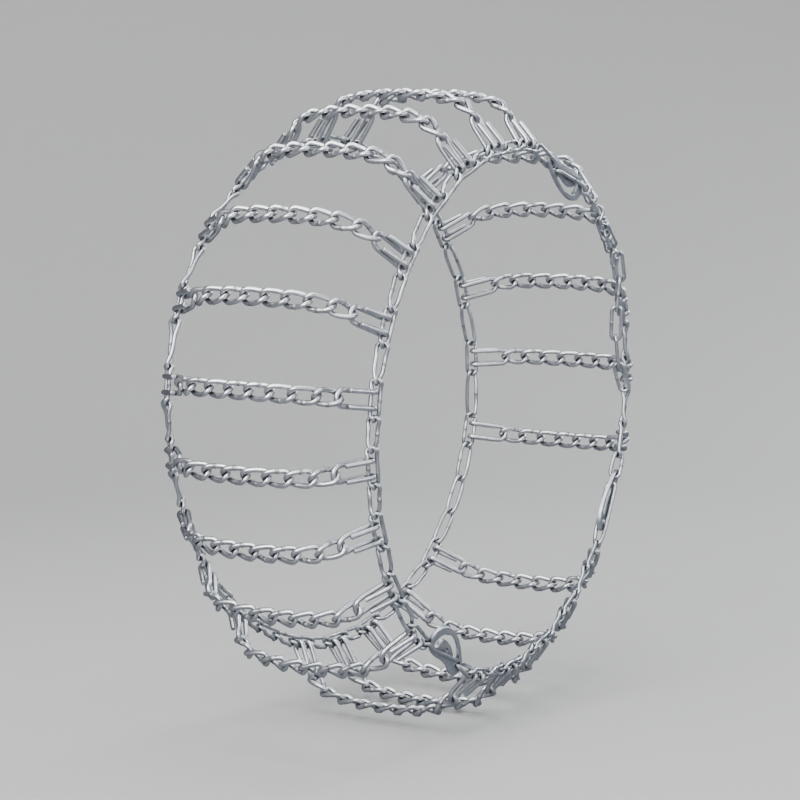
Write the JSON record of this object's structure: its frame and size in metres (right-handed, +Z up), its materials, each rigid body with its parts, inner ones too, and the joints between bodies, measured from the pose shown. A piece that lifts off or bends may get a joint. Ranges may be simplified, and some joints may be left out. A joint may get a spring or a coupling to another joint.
{
  "type": "tyre snow chain",
  "caption": "Ladder-type tyre snow chain in its fitted shape: cross chains on inner and outer side chains, cam tighteners, lever fastener and tail.",
  "frame": {"origin": "middle of the chain's bounding box; the centre of the tyre it is fitted to lies 9.4 mm from it along +Y", "axes": "axle along Y, the outer side with the cam tighteners and the lever fastener towards -Y, +Z up, +X towards the side on which the tail hangs"},
  "size_m": [0.7096, 0.2682, 0.7098],
  "materials": {
    "cross_steel": "bright zinc-plated steel wire, slightly cloudy",
    "side_steel": "bright zinc-plated steel wire",
    "cam_steel": "matte zinc-plated stamped steel",
    "fitting_steel": "matte zinc-plated steel"
  },
  "bodies": {
    "net": {"side_chain_outer_01": "side_steel", "side_chain_outer_02": "side_steel", "side_chain_outer_03": "side_steel", "side_chain_outer_04": "side_steel", "side_chain_outer_05": "side_steel", "side_chain_outer_06": "side_steel", "side_chain_outer_07": "side_steel", "side_chain_outer_08": "side_steel", "side_chain_outer_09": "side_steel", "side_chain_outer_10": "side_steel", "side_chain_outer_11": "side_steel", "side_chain_outer_12": "side_steel", "side_chain_inner_01": "side_steel", "side_chain_inner_02": "side_steel", "side_chain_inner_03": "side_steel", "side_chain_inner_04": "side_steel", "side_chain_inner_05": "side_steel", "side_chain_inner_06": "side_steel", "side_chain_inner_07": "side_steel", "side_chain_inner_08": "side_steel", "side_chain_inner_09": "side_steel", "inner_closing_hook": "fitting_steel", "cam_link_1": "side_steel", "cam_link_2": "side_steel", "cam_link_3": "side_steel", "fastener_shackle": "side_steel", "fastener_pin": "fitting_steel", "fastener_link": "side_steel"},
    "cross_01": {"cross_chain_01": "cross_steel"},
    "cross_02": {"cross_chain_02": "cross_steel"},
    "cross_03": {"cross_chain_03": "cross_steel"},
    "cross_04": {"cross_chain_04": "cross_steel"},
    "cross_05": {"cross_chain_05": "cross_steel"},
    "cross_06": {"cross_chain_06": "cross_steel"},
    "cross_07": {"cross_chain_07": "cross_steel"},
    "cross_08": {"cross_chain_08": "cross_steel"},
    "cross_09": {"cross_chain_09": "cross_steel"},
    "cross_10": {"cross_chain_10": "cross_steel"},
    "cross_11": {"cross_chain_11": "cross_steel"},
    "cross_12": {"cross_chain_12": "cross_steel"},
    "cross_13": {"cross_chain_13": "cross_steel"},
    "cross_14": {"cross_chain_14": "cross_steel"},
    "cross_15": {"cross_chain_15": "cross_steel"},
    "cross_16": {"cross_chain_16": "cross_steel"},
    "cross_17": {"cross_chain_17": "cross_steel"},
    "cross_18": {"cross_chain_18": "cross_steel"},
    "cross_19": {"cross_chain_19": "cross_steel"},
    "cross_20": {"cross_chain_20": "cross_steel"},
    "cross_21": {"cross_chain_21": "cross_steel"},
    "cam_1_plate": {"cam_1": "cam_steel"},
    "cam_2_plate": {"cam_2": "cam_steel"},
    "cam_3_plate": {"cam_3": "cam_steel"},
    "lever": {"fastener_lever": "fitting_steel"},
    "tail_1": {"tail_link_1": "side_steel"},
    "tail_2": {"tail_link_2": "side_steel"},
    "tail_3": {"tail_link_3": "side_steel"},
    "tail_4": {"tail_link_4": "side_steel"},
    "tail_5": {"tail_link_5": "side_steel"}
  },
  "joints": [
    {"name": "cross_01_slide", "type": "slide", "parent": "net", "child": "cross_01", "axis": [-0.9903, 0, 0.1392], "range_m": [-0.0025, 0.0025]},
    {"name": "cross_02_slide", "type": "slide", "parent": "net", "child": "cross_02", "axis": [-0.9952, 0, -0.0976], "range_m": [-0.0025, 0.0025]},
    {"name": "cross_03_slide", "type": "slide", "parent": "net", "child": "cross_03", "axis": [-0.9444, 0, -0.3289], "range_m": [-0.0025, 0.0025]},
    {"name": "cross_04_slide", "type": "slide", "parent": "net", "child": "cross_04", "axis": [-0.8329, 0, -0.5534], "range_m": [-0.0025, 0.0025]},
    {"name": "cross_05_slide", "type": "slide", "parent": "net", "child": "cross_05", "axis": [-0.6468, 0, -0.7627], "range_m": [-0.0025, 0.0025]},
    {"name": "cross_06_slide", "type": "slide", "parent": "net", "child": "cross_06", "axis": [-0.4131, 0, -0.9107], "range_m": [-0.0025, 0.0025]},
    {"name": "cross_07_slide", "type": "slide", "parent": "net", "child": "cross_07", "axis": [-0.1444, 0, -0.9895], "range_m": [-0.0025, 0.0025]},
    {"name": "cross_08_slide", "type": "slide", "parent": "net", "child": "cross_08", "axis": [0.1063, 0, -0.9943], "range_m": [-0.0025, 0.0025]},
    {"name": "cross_09_slide", "type": "slide", "parent": "net", "child": "cross_09", "axis": [0.3437, 0, -0.9391], "range_m": [-0.0025, 0.0025]},
    {"name": "cross_10_slide", "type": "slide", "parent": "net", "child": "cross_10", "axis": [0.5606, 0, -0.8281], "range_m": [-0.0025, 0.0025]},
    {"name": "cross_11_slide", "type": "slide", "parent": "net", "child": "cross_11", "axis": [0.7524, 0, -0.6587], "range_m": [-0.0025, 0.0025]},
    {"name": "cross_12_slide", "type": "slide", "parent": "net", "child": "cross_12", "axis": [0.9728, 0, -0.2317], "range_m": [-0.0025, 0.0025]},
    {"name": "cross_13_slide", "type": "slide", "parent": "net", "child": "cross_13", "axis": [1, 0, 0.0087], "range_m": [-0.0025, 0.0025]},
    {"name": "cross_14_slide", "type": "slide", "parent": "net", "child": "cross_14", "axis": [0.9694, 0, 0.2453], "range_m": [-0.0025, 0.0025]},
    {"name": "cross_15_slide", "type": "slide", "parent": "net", "child": "cross_15", "axis": [0.8763, 0, 0.4818], "range_m": [-0.0025, 0.0025]},
    {"name": "cross_16_slide", "type": "slide", "parent": "net", "child": "cross_16", "axis": [0.7206, 0, 0.6934], "range_m": [-0.0025, 0.0022]},
    {"name": "cross_17_slide", "type": "slide", "parent": "net", "child": "cross_17", "axis": [0.2487, 0, 0.9686], "range_m": [-0.0025, 0.0025]},
    {"name": "cross_18_slide", "type": "slide", "parent": "net", "child": "cross_18", "axis": [-0.0419, 0, 0.9991], "range_m": [-0.0021, 0.0021]},
    {"name": "cross_19_slide", "type": "slide", "parent": "net", "child": "cross_19", "axis": [-0.3239, 0, 0.9461], "range_m": [-0.0025, 0.0025]},
    {"name": "cross_20_slide", "type": "slide", "parent": "net", "child": "cross_20", "axis": [-0.585, 0, 0.8111], "range_m": [-0.0025, 0.0025]},
    {"name": "cross_21_slide", "type": "slide", "parent": "net", "child": "cross_21", "axis": [-0.7771, 0, 0.6293], "range_m": [-0.0018, 0.0025]},
    {"name": "cam_1_rock", "type": "hinge", "parent": "net", "child": "cam_1_plate", "pos_m": [0.09379, -0.11461, 0.26856], "axis": [0, -1, 0], "range_deg": [-5, 5]},
    {"name": "cam_2_rock", "type": "hinge", "parent": "net", "child": "cam_2_plate", "pos_m": [0.24937, -0.11374, -0.11201], "axis": [0.2205, -0.9682, -0.1179], "range_deg": [-5, 5]},
    {"name": "cam_3_rock", "type": "hinge", "parent": "net", "child": "cam_3_plate", "pos_m": [-0.11715, -0.11469, -0.26814], "axis": [-0.2083, -0.898, -0.3876], "range_deg": [-5, 0]},
    {"name": "lever_flip", "type": "hinge", "parent": "net", "child": "lever", "pos_m": [0.21097, -0.11461, 0.19969], "axis": [-0.6091, -0.5472, -0.574], "range_deg": [0, 75]},
    {"name": "tail_1_swing", "type": "hinge", "parent": "lever", "child": "tail_1", "pos_m": [0.22853, -0.12661, 0.16316], "axis": [0.3983, -0.837, 0.3753], "range_deg": [-10, 0]},
    {"name": "tail_2_swing", "type": "hinge", "parent": "tail_1", "child": "tail_2", "pos_m": [0.2393, -0.12553, 0.12646], "axis": [0.4932, -0.8617, 0.1195], "range_deg": [-10, 0]},
    {"name": "tail_3_swing", "type": "hinge", "parent": "tail_2", "child": "tail_3", "pos_m": [0.23896, -0.1213, 0.09101], "axis": [-0.8904, -0.451, -0.061], "range_deg": [0, 10]},
    {"name": "tail_4_swing", "type": "hinge", "parent": "tail_3", "child": "tail_4", "pos_m": [0.24296, -0.11838, 0.0556], "axis": [0.4805, -0.8767, -0.0234], "range_deg": [-10, 0]},
    {"name": "tail_5_swing", "type": "hinge", "parent": "tail_4", "child": "tail_5", "pos_m": [0.24985, -0.11861, 0.02174], "axis": [-0.8586, -0.4841, -0.1685], "range_deg": [0, 12]}
  ]
}
